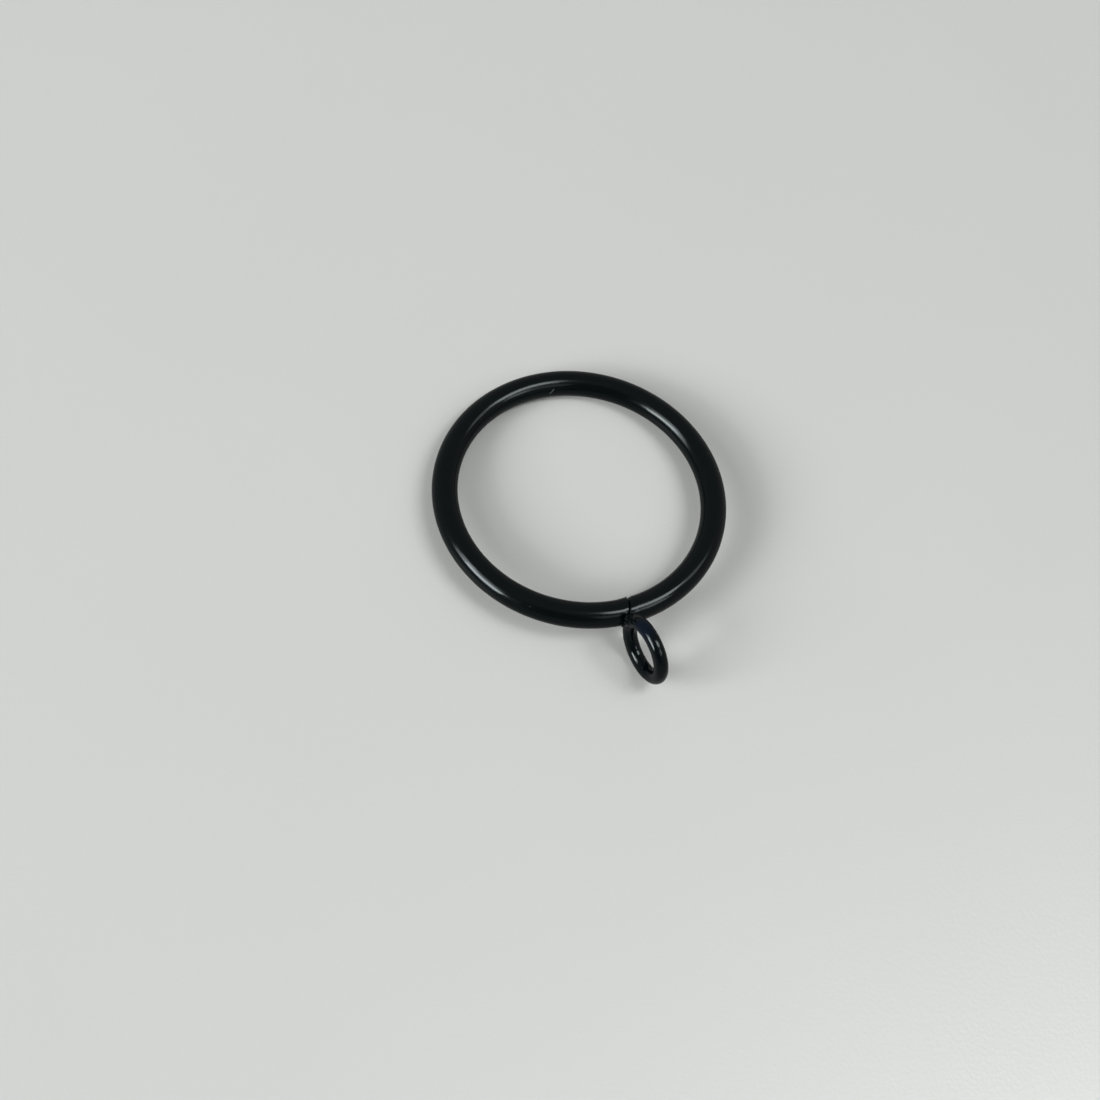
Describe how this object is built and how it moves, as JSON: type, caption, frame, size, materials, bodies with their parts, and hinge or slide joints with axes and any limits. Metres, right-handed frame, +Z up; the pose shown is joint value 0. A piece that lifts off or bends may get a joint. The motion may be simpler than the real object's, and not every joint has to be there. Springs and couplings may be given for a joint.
{
  "type": "curtain ring",
  "caption": "Black-painted round steel wire ring with a small eyelet welded square to its outer edge, to hang a curtain from a rod.",
  "frame": {"origin": "on the table under the middle of the part's box, as the part lies at rest on the far side of the ring and on the bottom of the eyelet", "axes": "+Z up from the table, -Y from the middle of the ring towards the eyelet, +X to the right when the eyelet points to the viewer. The ring's own axis leans 4.17 degrees from +Z towards +Y, because the eyelet lifts the near side."},
  "size_m": [0.046, 0.0562, 0.0111],
  "materials": {
    "ring_paint": "satin",
    "eyelet_paint": "satin",
    "painted_weld": "matte"
  },
  "bodies": {
    "root": {"ring": "ring_paint", "eyelet": "eyelet_paint", "weld_bead": "painted_weld"}
  },
  "joints": []
}
